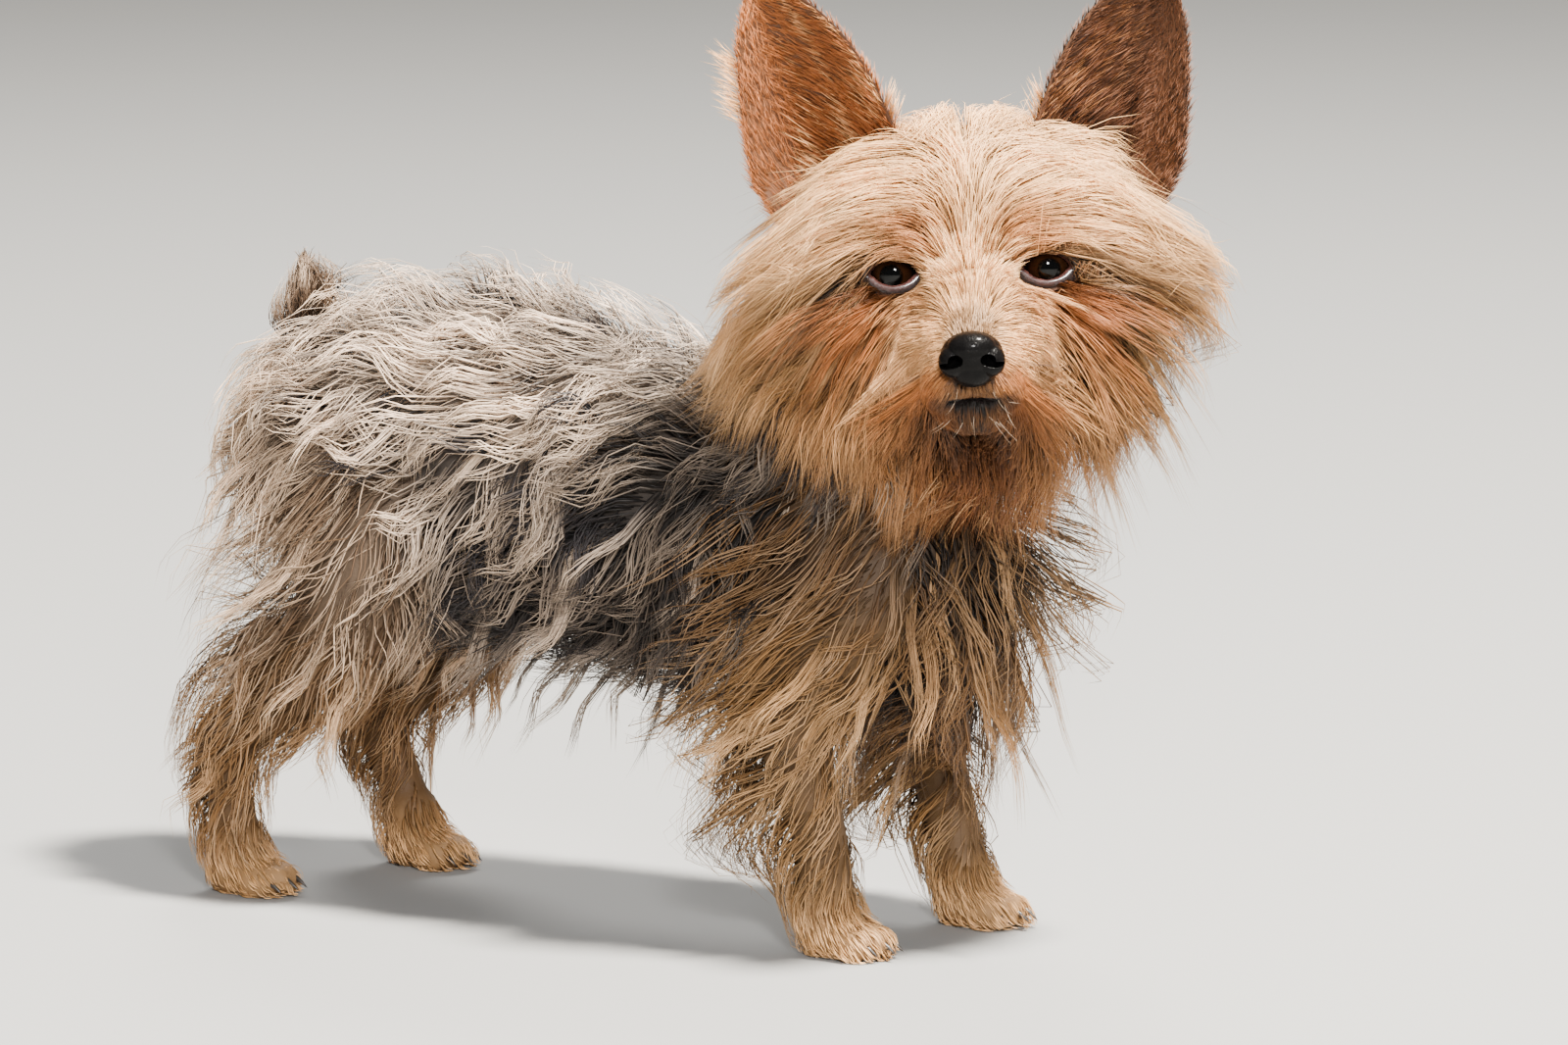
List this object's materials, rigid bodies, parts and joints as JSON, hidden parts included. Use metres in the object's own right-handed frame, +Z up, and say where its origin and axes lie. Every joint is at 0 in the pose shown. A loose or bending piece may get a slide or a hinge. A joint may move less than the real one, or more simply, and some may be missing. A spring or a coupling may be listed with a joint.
{
  "type": "yorkshire terrier",
  "caption": "Small long-haired terrier standing still, head turned to its right, with upright pointed ears, a wavy steel and tan coat and a short docked tail.",
  "frame": {"origin": "centre of the bounding box in X and Y, on the floor under the paws", "axes": "+Z up; the dog's body faces -Y and its left side is +X; its head is turned to its right, towards -X"},
  "size_m": [0.1268, 0.3406, 0.3069],
  "materials": {
    "head_coat": "long soft golden tan hair",
    "tan_coat": "long wavy tan hair",
    "steel_coat": "long wavy dark steel grey hair with pale locks",
    "ear_coat": "short deep rust hair",
    "eye": "wet dark brown",
    "nose_leather": "moist black grained leather",
    "claw": "smooth black horn"
  },
  "bodies": {
    "root": {"head": "head_coat", "front_leg_left": "tan_coat", "front_leg_right": "tan_coat", "neck": "tan_coat", "front_paw_left": "tan_coat", "front_paw_right": "tan_coat", "hind_paw_left": "tan_coat", "hind_paw_right": "tan_coat", "torso": "steel_coat", "tail": "steel_coat", "hind_leg_left": "steel_coat", "hind_leg_right": "steel_coat", "ear_left": "ear_coat", "ear_right": "ear_coat", "eye_left": "eye", "eye_right": "eye", "nose": "nose_leather", "claw_front_paw_left_1": "claw", "claw_front_paw_left_2": "claw", "claw_front_paw_left_3": "claw", "claw_front_paw_left_4": "claw", "claw_front_paw_right_1": "claw", "claw_front_paw_right_2": "claw", "claw_front_paw_right_3": "claw", "claw_front_paw_right_4": "claw", "claw_hind_paw_left_1": "claw", "claw_hind_paw_left_2": "claw", "claw_hind_paw_left_3": "claw", "claw_hind_paw_left_4": "claw", "claw_hind_paw_right_1": "claw", "claw_hind_paw_right_2": "claw", "claw_hind_paw_right_3": "claw", "claw_hind_paw_right_4": "claw"}
  },
  "joints": []
}
